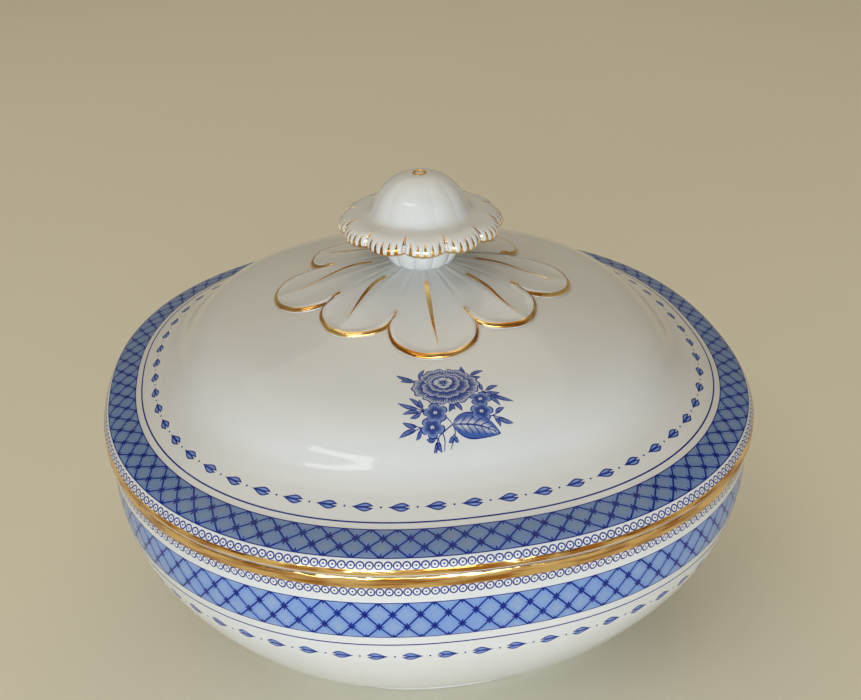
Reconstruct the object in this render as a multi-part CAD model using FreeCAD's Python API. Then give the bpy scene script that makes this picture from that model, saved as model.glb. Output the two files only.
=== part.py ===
import FreeCAD, Part
import math
import os

# A porcelain soup tureen: a soft-square bowl on a low foot ring, and a lift-off domed lid.
# The lid carries a moulded rosette and a flower finial. Both rims wear a gilded band.
# Millimetres, +Z up, origin at the centre of the foot on the surface it stands on.
# The front, where the middle petal points, faces -Y.

# Driving dimensions
HALF_WIDTH = 140.0          # from the axis to the widest edge, along X and along Y
SQUARENESS = 2.25           # exponent of the plan outline: 2 is a circle, more is squarer
HEIGHT = 200.0              # from the table to the top of the finial
WALL = 4.5                  # thickness of the fired body
RIM_Z = 105.6               # top of the bowl's rim
REST_GAP = 0.3              # play between the bowl's rim and the lid's seat
GILT_DEPTH = 0.8            # depth of the gilded bands
BOWL_GILT_Z = 100.6         # lower edge of the bowl's gilded band
LID_GILT_Z = 108.6          # upper edge of the lid's gilded band
BOWL_GILT_RADIUS = 139.0    # half width of the bowl where its band starts
LID_GILT_RADIUS = 139.6     # half width of the lid where its band ends
OUTLINE_POINTS = 48         # points that each plan outline is drawn through

# Foot and seat
FOOT_OUTER = 88.0
FOOT_TOP_OUTER = 91.0
FOOT_INNER = 80.0
FOOT_HEIGHT = 7.0
SEAT_INNER = 126.5          # inner edge of the lid's flat seat
FLANGE_OUTER = 131.2        # ring inside the bowl's mouth that centres the lid
FLANGE_WIDTH = 3.8
FLANGE_DROP = 7.8

# Side profiles as (radius, height), from the bottom up
BOWL_SIDE = [
    (FOOT_TOP_OUTER, FOOT_HEIGHT),
    (99.5, 12.5),
    (109.0, 22.0),
    (119.0, 35.0),
    (128.5, 50.0),
    (135.2, 65.0),
    (138.2, 80.0),
    (138.4, 92.0),
    (BOWL_GILT_RADIUS, BOWL_GILT_Z),
    (HALF_WIDTH, RIM_Z),
]
SEAT_Z = RIM_Z + REST_GAP
NECK_BASE_Z = 160.2
LID_SIDE = [
    (HALF_WIDTH, SEAT_Z),
    (LID_GILT_RADIUS, LID_GILT_Z),
    (137.4, 112.0),
    (125.7, 115.2),
    (117.6, 118.3),
    (111.5, 121.1),
    (106.6, 124.6),
    (101.5, 130.1),
    (95.0, 135.7),
    (86.0, 140.4),
    (72.0, 144.6),
    (50.0, 150.0),
    (30.0, 155.6),
    (15.5, NECK_BASE_Z),
]

# Rosette
PETALS = 8
PETAL_ROOT = 17.5           # where a petal leaves the finial's neck
PETAL_CUSP = 37.0           # where neighbouring petals part
PETAL_LIFT = 1.6            # height of the relief above the lid
PETAL_GAP = 0.35            # clear space between neighbouring petals
# Beyond the cusp: (distance from the axis, half width), ending at the tip
LONG_PETAL = [(42.0, 16.9), (48.0, 17.4), (54.5, 15.4), (59.8, 10.2), (62.5, 0.0)]
SHORT_PETAL = [(41.2, 16.2), (46.4, 15.8), (51.2, 12.8), (54.8, 8.0), (57.0, 0.0)]

# Finial
NECK_LOBES = 12
BRIM_LOBES = 12
BRIM_RADIUS = 34.6
CROWN_Z = 184.2
CROWN_RADIUS = 19.2
CROWN_TOP_Z = 199.2
EYE_RADIUS = 2.9


def vector(x, y, z):
    return FreeCAD.Vector(x, y, z)


def squareness_factor(angle):
    """How far the plan outline stands out at this angle, as a share of its half width."""
    powers = abs(math.cos(angle)) ** SQUARENESS + abs(math.sin(angle)) ** SQUARENESS
    return powers ** (-1.0 / SQUARENESS)


def closed_outline(points):
    """A smooth closed wire through the points."""
    curve = Part.BSplineCurve()
    curve.interpolate(points, PeriodicFlag=True)
    return Part.Wire([curve.toShape()])


def soft_square(radius, z):
    """The dish's plan outline at one height."""
    points = []
    for step in range(OUTLINE_POINTS):
        angle = 2 * math.pi * step / OUTLINE_POINTS
        reach = radius * squareness_factor(angle)
        points.append(vector(reach * math.cos(angle), reach * math.sin(angle), z))
    return closed_outline(points)


def lobed_round(radius, z, lobes, depth):
    """A round outline that swells into lobes, with a cusp-like dip between each two."""
    points = []
    count = lobes * 8
    for step in range(count):
        angle = 2 * math.pi * step / count
        swell = abs(math.cos(lobes * angle / 2.0))
        reach = radius - depth * (1.0 - swell)
        points.append(vector(reach * math.cos(angle), reach * math.sin(angle), z))
    return closed_outline(points)


def dish(profile):
    """A solid whose side follows the profile and whose plan is the soft square."""
    wires = [soft_square(radius, z) for radius, z in profile]
    return Part.makeLoft(wires, True, False)


def straight_dish(radius, bottom, top):
    """A soft-square block with an upright side."""
    face = Part.Face(soft_square(radius, bottom))
    return face.extrude(vector(0, 0, top - bottom))


def slab(bottom, top):
    """A wide flat block for cutting out what lies between two heights."""
    side = 4 * HALF_WIDTH
    return Part.makeBox(side, side, top - bottom, vector(-side / 2, -side / 2, bottom))


def moved_inwards(profile, depth):
    """The profile shifted square to itself by the depth, towards the inside of the dish."""
    shifted = []
    last = len(profile) - 1
    for index, (radius, z) in enumerate(profile):
        before = profile[max(index - 1, 0)]
        after = profile[min(index + 1, last)]
        run = after[0] - before[0]
        rise = after[1] - before[1]
        length = math.hypot(run, rise)
        shifted.append((radius - depth * rise / length, z + depth * run / length))
    return shifted


def bowl_cavity():
    """The inside of the bowl, running out past the rim."""
    inside = moved_inwards(BOWL_SIDE, WALL)
    floor_z = FOOT_HEIGHT + WALL
    side = [(FOOT_INNER, floor_z)] + inside[2:-1]
    side.append((HALF_WIDTH - WALL - 1.5, RIM_Z + 2.0))
    return dish(side)


def gilded_band(outside, bottom, top, core_radius):
    """The gilded band that wraps the outside of a rim between two heights."""
    core = straight_dish(core_radius, bottom - 1.0, top + 1.0)
    return outside.common(slab(bottom, top)).cut(core)


def foot_ring():
    """The turned ring that the bowl stands on."""
    outside = dish([(FOOT_OUTER, 0.0), (FOOT_OUTER + 0.6, 3.0), (FOOT_TOP_OUTER, FOOT_HEIGHT)])
    return outside.cut(straight_dish(FOOT_INNER, -1.0, FOOT_HEIGHT + 1.0))


def lid_hollow():
    """The space under the dome, open through the flat seat."""
    inside = moved_inwards(LID_SIDE, WALL)[4:]
    side = [(SEAT_INNER, SEAT_Z - 1.0), (SEAT_INNER - 0.5, SEAT_Z + 1.5), (120.0, 111.6)] + inside
    return dish(side)


def lid_flange():
    """The locating ring under the lid."""
    bottom = SEAT_Z - FLANGE_DROP
    outer = straight_dish(FLANGE_OUTER, bottom, SEAT_Z)
    return outer.cut(straight_dish(FLANGE_OUTER - FLANGE_WIDTH, bottom - 1.0, SEAT_Z + 1.0))


def petal_outline(turn, fullness):
    """A petal seen from above: narrow at the neck, swelling to a broad round tip."""
    half_sector = math.tan(math.pi / PETALS)

    def place(out, across):
        return vector(
            out * math.cos(turn) - across * math.sin(turn),
            out * math.sin(turn) + across * math.cos(turn),
            0.0,
        )

    root_half = PETAL_ROOT * half_sector - PETAL_GAP / 2.0
    cusp_half = PETAL_CUSP * half_sector - PETAL_GAP / 2.0
    side = [(PETAL_CUSP, cusp_half)] + fullness[:-1]
    left = [place(out, across) for out, across in side]
    right = [place(out, -across) for out, across in side]
    round_end = Part.BSplineCurve()
    round_end.interpolate(right + [place(*fullness[-1])] + left[::-1])
    left_root = place(PETAL_ROOT, root_half)
    right_root = place(PETAL_ROOT, -root_half)
    edges = [
        Part.makeLine(right_root, right[0]),
        round_end.toShape(),
        Part.makeLine(left[0], left_root),
        Part.makeLine(left_root, right_root),
    ]
    return Part.Wire(edges)


def petal(layer, number):
    """One moulded petal of the rosette, cut out of the raised layer over the dome.

    The petals on the flat sides are long, and those towards the corners short.
    """
    turn = -math.pi / 2 + 2 * math.pi * number / PETALS
    fullness = SHORT_PETAL if number % 2 else LONG_PETAL
    prism = Part.Face(petal_outline(turn, fullness)).extrude(vector(0, 0, HEIGHT))
    return layer.common(prism)


def rosette_layer(outside):
    """A thin shell over the whole lid, as thick as the petals stand proud."""
    raised = [(radius, z + PETAL_LIFT) for radius, z in LID_SIDE]
    return dish(raised).cut(outside)


def finial_neck():
    """The fluted stem between the lid and the flower."""
    sections = [(15.0, NECK_BASE_Z), (14.2, 164.0), (14.6, 168.0), (17.5, 174.2)]
    wires = [lobed_round(radius, z, NECK_LOBES, 1.1) for radius, z in sections]
    return Part.makeLoft(wires, True, False)


def finial_brim():
    """The flower's ruffled skirt of petals."""
    sections = [
        (17.5, 174.2, 0.4),
        (27.0, 174.9, 1.0),
        (33.6, 176.2, 2.0),
        (BRIM_RADIUS, 178.0, 2.4),
        (32.0, 180.4, 1.8),
        (26.0, 182.4, 0.8),
        (20.5, CROWN_Z, 0.2),
    ]
    wires = [lobed_round(radius, z, BRIM_LOBES, depth) for radius, z, depth in sections]
    return Part.makeLoft(wires, True, False)


def finial_crown():
    """The domed heart of the flower."""
    base_left = vector(0, 0, CROWN_Z)
    base_right = vector(CROWN_RADIUS, 0, CROWN_Z)
    top = vector(0, 0, CROWN_TOP_Z)
    side = Part.BSplineCurve()
    side.interpolate([base_right, vector(18.2, 0, 189.2), vector(13.2, 0, 194.8), vector(6.0, 0, 198.0), top])
    edges = [Part.makeLine(base_left, base_right), side.toShape(), Part.makeLine(top, base_left)]
    return Part.Face(Part.Wire(edges)).revolve(vector(0, 0, 0), vector(0, 0, 1), 360)


def finial_eye(crown):
    """The small gilded button in the middle of the flower."""
    button = Part.makeCylinder(EYE_RADIUS, HEIGHT - CROWN_TOP_Z + 1.2, vector(0, 0, CROWN_TOP_Z - 1.2))
    rim = [edge for edge in button.Edges if edge.BoundBox.ZMin > HEIGHT - 0.01]
    return button.makeFillet(0.5, rim).cut(crown)


def make_parts():
    bowl_outside = dish(BOWL_SIDE)
    lid_outside = dish(LID_SIDE)
    bowl_band = gilded_band(bowl_outside, BOWL_GILT_Z, RIM_Z, BOWL_GILT_RADIUS - GILT_DEPTH)
    lid_band = gilded_band(lid_outside, SEAT_Z, LID_GILT_Z, LID_GILT_RADIUS - GILT_DEPTH)
    crown = finial_crown()
    parts = {
        "bowl": bowl_outside.cut(bowl_cavity()).cut(bowl_band),
        "foot_ring": foot_ring(),
        "bowl_rim_gilding": bowl_band,
        "lid": lid_outside.cut(lid_hollow()).cut(lid_band),
        "lid_flange": lid_flange(),
        "lid_rim_gilding": lid_band,
        "finial_neck": finial_neck(),
        "finial_brim": finial_brim(),
        "finial_crown": crown,
        "finial_eye": finial_eye(crown),
    }
    layer = rosette_layer(lid_outside)
    for number in range(PETALS):
        parts["petal_%d" % (number + 1)] = petal(layer, number)
    return parts


os.makedirs("parts", exist_ok=True)
for name, shape in make_parts().items():
    box = shape.BoundBox
    print(name, "solids", len(shape.Solids), "valid", shape.isValid(), "cm3", round(shape.Volume / 1000, 2),
          "z", round(box.ZMin, 2), round(box.ZMax, 2), "x", round(box.XMin, 2), round(box.XMax, 2))
    shape.exportStep("parts/%s.step" % name)
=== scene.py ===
# %% [markdown]
# # A porcelain soup tureen
# The dish is a soft-square bowl on a low foot, with a domed lid that lifts off. Its white glaze
# carries blue printed borders, its rims are gilded, and the lid has a moulded rosette and a flower
# to hold it by. The engineering model gives the sizes, so it is loaded first and never moved: every
# piece made here is laid over the part that it stands for.

# %% Load the frame
import math

import bmesh
import bpy
import numpy as np
from mathutils import Matrix, Vector, geometry


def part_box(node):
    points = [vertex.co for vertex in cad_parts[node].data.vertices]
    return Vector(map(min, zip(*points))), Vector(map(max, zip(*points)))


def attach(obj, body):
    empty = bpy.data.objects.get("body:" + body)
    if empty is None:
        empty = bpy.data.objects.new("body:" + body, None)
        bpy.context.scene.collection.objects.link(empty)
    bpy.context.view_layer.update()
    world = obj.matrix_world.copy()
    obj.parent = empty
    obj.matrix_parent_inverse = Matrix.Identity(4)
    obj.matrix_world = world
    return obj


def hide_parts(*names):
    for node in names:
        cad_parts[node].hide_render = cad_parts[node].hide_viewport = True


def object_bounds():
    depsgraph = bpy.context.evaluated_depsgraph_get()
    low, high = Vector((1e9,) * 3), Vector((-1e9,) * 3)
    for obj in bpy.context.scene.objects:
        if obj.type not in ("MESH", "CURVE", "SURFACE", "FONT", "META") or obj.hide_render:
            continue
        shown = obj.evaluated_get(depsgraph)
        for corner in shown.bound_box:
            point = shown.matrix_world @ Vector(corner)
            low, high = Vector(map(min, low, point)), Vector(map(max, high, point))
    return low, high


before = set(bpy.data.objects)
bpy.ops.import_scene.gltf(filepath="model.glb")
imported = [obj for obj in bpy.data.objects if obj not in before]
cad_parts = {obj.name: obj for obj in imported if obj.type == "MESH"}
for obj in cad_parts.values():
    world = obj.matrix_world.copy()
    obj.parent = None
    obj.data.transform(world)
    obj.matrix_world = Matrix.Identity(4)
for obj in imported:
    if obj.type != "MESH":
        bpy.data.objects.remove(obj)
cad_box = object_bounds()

MM = 0.001
BOWL_BODY = "bowl_body"
LID_BODY = "lid_body"


def in_metres(pairs):
    """Turns pairs given in millimetres into metres."""
    return [(first * MM, second * MM) for first, second in pairs]


half_width = cad_box[1].x
rim_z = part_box("bowl")[1].z
seat_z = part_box("lid")[0].z
top_z = cad_box[1].z
print("half width %.1f mm, rim at %.1f mm, top at %.1f mm" % (half_width / MM, rim_z / MM, top_z / MM))

# %% [markdown]
# ## The camera
# The dish is seen from a standing person's height across a table: nearly thirty degrees down, close
# enough that the near rim looks wider than the far one. A portrait-length lens keeps that in check.
# The camera is placed by the point that it aims at, so that the dish stays in the middle.

# %% Camera
CAMERA_TURN = math.radians(-9.0)
CAMERA_DOWN = math.radians(28.96)
CAMERA_ROLL = math.radians(-1.3)
CAMERA_DISTANCE = 0.4920
CAMERA_LENS = 46.0
AIM_RIGHT = 2.9
AIM_ABOVE_RIM = 10.4


def make_camera():
    """A camera that looks down at the rim from the front, a little to the left."""
    forward = Vector((
        -math.sin(CAMERA_TURN) * math.cos(CAMERA_DOWN),
        math.cos(CAMERA_TURN) * math.cos(CAMERA_DOWN),
        -math.sin(CAMERA_DOWN),
    ))
    right = forward.cross(Vector((0, 0, 1))).normalized()
    aim = right * AIM_RIGHT * MM + Vector((0, 0, rim_z + AIM_ABOVE_RIM * MM))
    up = right.cross(forward)
    turned = Matrix.Rotation(CAMERA_ROLL, 3, -forward)
    columns = (turned @ right, turned @ up, -forward)
    data = bpy.data.cameras.new("camera")
    data.lens = CAMERA_LENS
    data.clip_start = 0.01
    camera = bpy.data.objects.new("camera", data)
    place = Matrix.Translation(aim - forward * CAMERA_DISTANCE)
    camera.matrix_world = place @ Matrix(columns).transposed().to_4x4()
    bpy.context.scene.collection.objects.link(camera)
    bpy.context.scene.camera = camera


make_camera()
print("the camera looks down %.0f degrees" % math.degrees(CAMERA_DOWN))

# %% [markdown]
# ## The plan: a soft square
# Seen from above the dish is neither round nor square. A superellipse says this with one number: at
# two it is a circle, and at two and a quarter its corners stand four percent further out. Whatever
# goes round the dish evenly, such as a printed border, is spaced by the distance walked along this
# outline, so the outline is measured once here.

# %% Plan outline
SQUARENESS = 2.25
FRONT = -math.pi / 2


def reach(angle):
    """How far the plan stands out at this angle, as a share of its half width."""
    powers = abs(math.cos(angle)) ** SQUARENESS + abs(math.sin(angle)) ** SQUARENESS
    return powers ** (-1 / SQUARENESS)


plan_angles = np.linspace(-math.pi, math.pi, 2881)
plan_reach = np.array([reach(angle) for angle in plan_angles])
plan_x = plan_reach * np.cos(plan_angles)
plan_y = plan_reach * np.sin(plan_angles)
plan_steps = np.hypot(np.diff(plan_x), np.diff(plan_y))
plan_walk = np.concatenate([[0.0], np.cumsum(plan_steps)])
PLAN_LENGTH = float(plan_walk[-1])


def turn_at(angle):
    """The share of the outline walked at this angle."""
    return float(np.interp(angle, plan_angles, plan_walk / PLAN_LENGTH))


print("the outline is %.3f half widths long" % PLAN_LENGTH)

# %% [markdown]
# ## The side lines
# A potter would cut a template for each side: one line of radius and height. A few named points
# shape it, and a smooth line is drawn through them. The line is kept as a small object that can be
# asked for the place at any distance along it, since the prints and the gold have to lie on it.

# %% Smooth lines
def smooth_line(points, cuts=6):
    """A smooth line through the points, each span a curve that follows its neighbours."""
    corners = [Vector(point) for point in points]
    line = [corners[0]]
    for index, (start, end) in enumerate(zip(corners, corners[1:])):
        before = corners[max(index - 1, 0)]
        after = corners[min(index + 2, len(corners) - 1)]
        third = (end - start).length / 3
        lead = start + (end - before).normalized() * third
        tail = end - (after - start).normalized() * third
        line += geometry.interpolate_bezier(start, lead, tail, end, cuts + 1)[1:]
    return line


class Side:
    """A smooth side line, from the bottom up, read by the distance along it."""

    def __init__(self, points, cuts=6):
        self.line = smooth_line(points, cuts)
        steps = [(b - a).length for a, b in zip(self.line, self.line[1:])]
        self.along = np.concatenate([[0.0], np.cumsum(steps)])
        self.radii = np.array([point[0] for point in self.line])
        self.heights = np.array([point[1] for point in self.line])
        self.length = float(self.along[-1])

    def at(self, along):
        """Radius and height at this distance."""
        radius = np.interp(along, self.along, self.radii)
        height = np.interp(along, self.along, self.heights)
        return float(radius), float(height)

    def outwards(self, along):
        """The direction square to the side, as a step in radius and a step in height."""
        low = self.at(max(along - 0.4 * MM, 0.0))
        high = self.at(min(along + 0.4 * MM, self.length))
        return Vector((high[1] - low[1], low[0] - high[0])).normalized()

    def lifted(self, along, lift):
        """Radius and height of a point that stands this far off the side."""
        radius, height = self.at(along)
        out = self.outwards(along)
        return radius + out[0] * lift, height + out[1] * lift

    def place(self, angle, along, lift=0.0):
        """A point on the dish at this angle and distance."""
        radius, height = self.lifted(along, lift)
        spread = radius * reach(angle)
        return Vector((spread * math.cos(angle), spread * math.sin(angle), height))

    def at_height(self, height):
        """The distance at which the side has risen to this height."""
        return float(np.interp(height, self.heights, self.along))

    def at_radius(self, radius):
        """The distance at which the side has drawn in to this radius."""
        return float(np.interp(-radius, -self.radii, self.along))


foot_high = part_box("foot_ring")[1]
foot_top = foot_high.z
BOWL_GILT_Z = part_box("bowl_rim_gilding")[0].z
LID_GILT_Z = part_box("lid_rim_gilding")[1].z
neck_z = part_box("finial_neck")[0].z
WALL = 4.5 * MM

bowl_side = Side([
    (foot_high.x, foot_top),
    *in_metres([
        (99.5, 12.5), (109.0, 22.0), (119.0, 35.0), (128.5, 50.0),
        (135.2, 65.0), (138.2, 80.0), (138.4, 92.0),
    ]),
    (half_width - 1.0 * MM, BOWL_GILT_Z),
    (half_width - 0.1 * MM, rim_z - 1.2 * MM),
    (half_width - 0.6 * MM, rim_z),
])
lid_side = Side([
    (half_width - 0.5 * MM, seat_z),
    (half_width - 0.1 * MM, seat_z + 0.9 * MM),
    (half_width - 0.5 * MM, LID_GILT_Z),
    *in_metres([
        (137.4, 112.0), (132.0, 113.9), (125.7, 115.2), (117.6, 118.3), (111.5, 121.1),
        (106.6, 124.6), (101.5, 130.1), (95.0, 135.7), (86.0, 140.4), (72.0, 144.6),
        (50.0, 150.0), (30.0, 155.6), (15.5, 160.0), (8.0, 161.6),
    ]),
])
print("bowl side %.0f mm long, lid side %.0f mm long" % (bowl_side.length / MM, lid_side.length / MM))

# %% [markdown]
# ## Turning a side into a dish
# A pot is thrown by turning, so its mesh is made the same way: the side line is spun once round the
# axis, and then the round is pressed out into the soft square. Spinning keeps the rings level and
# evenly spaced, which bands and bevels need. The same helper makes the bowl, the foot, the lid and
# every band that goes round them.

# %% Spin and press
ROUND_STEPS = 240
FINE_STEPS = 576


def spun(line, closed=False, steps=ROUND_STEPS, pressed=True):
    """A mesh made by turning a line of (radius, height) round the axis."""
    bm = bmesh.new()
    order = bm.verts.layers.float.new("order")
    verts = [bm.verts.new((radius, 0.0, height)) for radius, height in line]
    for index, vert in enumerate(verts):
        vert[order] = index
    pairs = list(zip(verts, verts[1:]))
    if closed:
        pairs.append((verts[-1], verts[0]))
    edges = [bm.edges.new(pair) for pair in pairs]
    bmesh.ops.spin(
        bm, geom=verts + edges, axis=(0, 0, 1), cent=(0, 0, 0),
        angle=2 * math.pi, steps=steps, use_merge=True,
    )
    bmesh.ops.remove_doubles(bm, verts=bm.verts, dist=0.001 * MM)
    if pressed:
        for vert in bm.verts:
            spread = reach(math.atan2(vert.co.y, vert.co.x))
            vert.co.x *= spread
            vert.co.y *= spread
    return bm


def finish_piece(name, bm, body, materials, replaced=(), sharp=50.0):
    """Turns the mesh into a named piece that faces outwards and rides on its body."""
    bmesh.ops.recalc_face_normals(bm, faces=bm.faces)
    mesh = bpy.data.meshes.new(name)
    bm.to_mesh(mesh)
    bm.free()
    for material in materials:
        mesh.materials.append(material)
    mesh.shade_smooth()
    mesh.set_sharp_from_angle(angle=math.radians(sharp))
    made = bpy.data.objects.new(name, mesh)
    bpy.context.scene.collection.objects.link(made)
    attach(made, body)
    if replaced:
        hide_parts(*replaced)
    print("%s: %d faces" % (name, len(mesh.polygons)))


print("each ring has %d steps" % ROUND_STEPS)

# %% [markdown]
# ## Numbers that vary over a surface
# A printed border is worked out from two coordinates: how far round the dish, and how far up the
# band. In the shader that is a chain of Math nodes. Written out one by one they are hard to read,
# so a small class lets the chain be written as ordinary sums, and each sum makes its node.

# %% Fields
class Field:
    """A number that varies over the surface, worked out by Math nodes."""

    def __init__(self, socket):
        self.socket = socket
        self.tree = socket.id_data

    def math(self, operation, *others):
        node = self.tree.nodes.new("ShaderNodeMath")
        node.operation = operation
        self.tree.links.new(self.socket, node.inputs[0])
        for place, other in enumerate(others, start=1):
            if isinstance(other, Field):
                self.tree.links.new(other.socket, node.inputs[place])
            else:
                node.inputs[place].default_value = other
        return Field(node.outputs[0])

    def __add__(self, other):
        return self.math("ADD", other)

    def __sub__(self, other):
        return self.math("SUBTRACT", other)

    def __mul__(self, other):
        return self.math("MULTIPLY", other)

    def __abs__(self):
        return self.math("ABSOLUTE")

    def least(self, other):
        return self.math("MINIMUM", other)

    def most(self, other):
        return self.math("MAXIMUM", other)

    def off_nearest(self, step=1.0):
        """How far the number is from the nearest multiple of the step."""
        return self - (self * (1 / step)).math("ROUND") * step

    def ramp(self, low, high, at_low, at_high):
        """A soft change from one value to another between two limits."""
        node = self.tree.nodes.new("ShaderNodeMapRange")
        node.interpolation_type = "SMOOTHSTEP"
        self.tree.links.new(self.socket, node.inputs["Value"])
        limits = {"From Min": low, "From Max": high, "To Min": at_low, "To Max": at_high}
        for name, value in limits.items():
            node.inputs[name].default_value = value
        return Field(node.outputs["Result"])

    def within(self, width, soft=0.05):
        """One where the number is under the width, none above it, with a soft edge."""
        if isinstance(width, Field):
            return (self - width).ramp(-soft, soft, 1.0, 0.0)
        return self.ramp(width - soft, width + soft, 1.0, 0.0)


def distance(x, y):
    return (x * x + y * y).math("SQRT")


print("fields ready")

# %% [markdown]
# ## The white glaze
# Old porcelain isn't a flat white. The body is a warm milk white, the clear glaze over it pools a
# little, and it ripples very slightly, which is why reflections in it have soft, wavering edges. The
# body is a diffuse base with a slow drift of tone, and the glaze is the shader's coat, with a faint
# bump of its own. The printed bands use the same base, so they sit in the same white.

# %% Glaze
MILK_WHITE = (0.760, 0.755, 0.735, 1.0)
POOLED_WHITE = (0.715, 0.720, 0.705, 1.0)
GLAZE_ROUGHNESS = 0.22
COAT_ROUGHNESS = 0.035
GLAZE_IOR = 1.5
BODY_RIPPLE, BODY_COAT = 0.05, 0.5
PRINT_RIPPLE, PRINT_COAT = 0.03, 0.28


def noise(tree, scale, detail=2.0):
    """A noise field over the piece's own coordinates."""
    source = tree.nodes.new("ShaderNodeTexCoord")
    texture = tree.nodes.new("ShaderNodeTexNoise")
    texture.inputs["Scale"].default_value = scale
    texture.inputs["Detail"].default_value = detail
    tree.links.new(source.outputs["Object"], texture.inputs["Vector"])
    return Field(texture.outputs["Fac"])


def blend_colour(tree, amount, low, high):
    """A colour between two others. Each is a colour or a socket."""
    node = tree.nodes.new("ShaderNodeMix")
    node.data_type = "RGBA"
    tree.links.new(amount.socket, node.inputs["Factor"])
    for name, value in (("A", low), ("B", high)):
        socket = [entry for entry in node.inputs if entry.name == name and entry.type == "RGBA"][0]
        if isinstance(value, tuple):
            socket.default_value = value
        else:
            tree.links.new(value, socket)
    return [entry for entry in node.outputs if entry.type == "RGBA"][0]


def new_material(name):
    material = bpy.data.materials.new(name)
    material.use_nodes = True
    return material, material.node_tree, material.node_tree.nodes["Principled BSDF"]


def white_body(tree):
    """The colour of the unprinted body."""
    drift = noise(tree, 14.0, 3.0).ramp(0.35, 0.70, 0.0, 1.0)
    return blend_colour(tree, drift, MILK_WHITE, POOLED_WHITE)


def add_glaze(tree, shader, ripple, coat):
    """The clear glaze over the body, with its faint ripple."""
    shader.inputs["Roughness"].default_value = GLAZE_ROUGHNESS
    shader.inputs["IOR"].default_value = GLAZE_IOR
    shader.inputs["Specular IOR Level"].default_value = 0.15
    shader.inputs["Coat Weight"].default_value = coat
    shader.inputs["Coat Roughness"].default_value = COAT_ROUGHNESS
    shader.inputs["Coat IOR"].default_value = GLAZE_IOR
    bump = tree.nodes.new("ShaderNodeBump")
    bump.inputs["Strength"].default_value = ripple
    bump.inputs["Distance"].default_value = 1.5 * MM
    tree.links.new(noise(tree, 55.0, 1.0).socket, bump.inputs["Height"])
    tree.links.new(bump.outputs["Normal"], shader.inputs["Normal"])
    tree.links.new(bump.outputs["Normal"], shader.inputs["Coat Normal"])


def make_glaze():
    material, tree, shader = new_material("white_glaze")
    tree.links.new(white_body(tree), shader.inputs["Base Color"])
    add_glaze(tree, shader, BODY_RIPPLE, BODY_COAT)
    return material


white_glaze = make_glaze()
print("white glaze: coat roughness %.3f" % COAT_ROUGHNESS)

# %% [markdown]
# ## The gold
# The gold is brushed on by hand as a liquid, fired, and burnished. It is bright metal, but the
# brush leaves it uneven: broad soft waves along the rim break the reflections into streaks of pale
# yellow and deep amber. A metal shader with a slow drift of tone, a patchy roughness and a wavy bump
# gives all three.

# %% Gold
PALE_GOLD = (1.0, 0.68, 0.27, 1.0)
DEEP_GOLD = (0.52, 0.215, 0.035, 1.0)
PATCHINESS = 0.14
PATCHES, WAVES, TONES = 240.0, 70.0, 48.0


def levelled_noise(tree, scale, stretch):
    """A slow drift drawn out sideways into streaks."""
    source = tree.nodes.new("ShaderNodeTexCoord")
    levelled = tree.nodes.new("ShaderNodeMapping")
    levelled.inputs["Scale"].default_value = (1.0, 1.0, stretch)
    drift = tree.nodes.new("ShaderNodeTexNoise")
    drift.inputs["Scale"].default_value = scale
    drift.inputs["Detail"].default_value = 2.0
    tree.links.new(source.outputs["Object"], levelled.inputs["Vector"])
    tree.links.new(levelled.outputs["Vector"], drift.inputs["Vector"])
    return Field(drift.outputs["Fac"])


def make_gold(name, shine, wave, stretch):
    """Burnished gold: its least roughness, how wavy it is, and how level the waves run."""
    material, tree, shader = new_material(name)
    shader.inputs["Metallic"].default_value = 1.0
    patchy = noise(tree, PATCHES).ramp(0.3, 0.75, shine, shine + PATCHINESS)
    tree.links.new(patchy.socket, shader.inputs["Roughness"])
    bump = tree.nodes.new("ShaderNodeBump")
    bump.inputs["Strength"].default_value = wave
    bump.inputs["Distance"].default_value = 1.4 * MM
    tree.links.new(levelled_noise(tree, WAVES, stretch).socket, bump.inputs["Height"])
    tone = levelled_noise(tree, TONES, stretch * 1.6).ramp(0.40, 0.62, 0.0, 1.0)
    tree.links.new(blend_colour(tree, tone, PALE_GOLD, DEEP_GOLD), shader.inputs["Base Color"])
    tree.links.new(bump.outputs["Normal"], shader.inputs["Normal"])
    return material


rim_gold = make_gold("rim_gold", 0.07, 0.55, 5.0)
brushed_gold = make_gold("brushed_gold", 0.16, 0.30, 1.0)
print("gold for the rims and for the brush strokes")

# %% [markdown]
# ## The bowl and its foot
# The bowl is one turned shell: up the outside, over the lip, down the inside and across the floor.
# Making it as one closed line keeps its wall a true thickness and leaves no seam. The inside line is
# the outside moved in square to itself, by the wall.

# %% Bowl and foot
def inner_line(side, start, end, wall, count):
    """Points that follow the side on its inner face, between two distances along it."""
    return [side.lifted(along, -wall) for along in np.linspace(start, end, count)]


def bowl_line():
    """The bowl's whole section, from the middle of its underside to the middle of its floor."""
    lip = [
        (half_width - 2.2 * MM, rim_z),
        (half_width - 4.4 * MM, rim_z),
        (half_width - WALL - 1.2 * MM, rim_z - 0.9 * MM),
    ]
    inside = inner_line(bowl_side, bowl_side.length - 6 * MM, 24 * MM, WALL, 36)
    floor_z = foot_top + WALL
    floor = [(84.0 * MM, floor_z + 1.2 * MM), (70.0 * MM, floor_z), (35.0 * MM, floor_z), (0.0, floor_z)]
    under = [(0.0, foot_top), (45.0 * MM, foot_top)]
    return under + bowl_side.line + lip + inside + floor


finish_piece("bowl_shell", spun(bowl_line()), BOWL_BODY, [white_glaze], ["bowl"])


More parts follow.
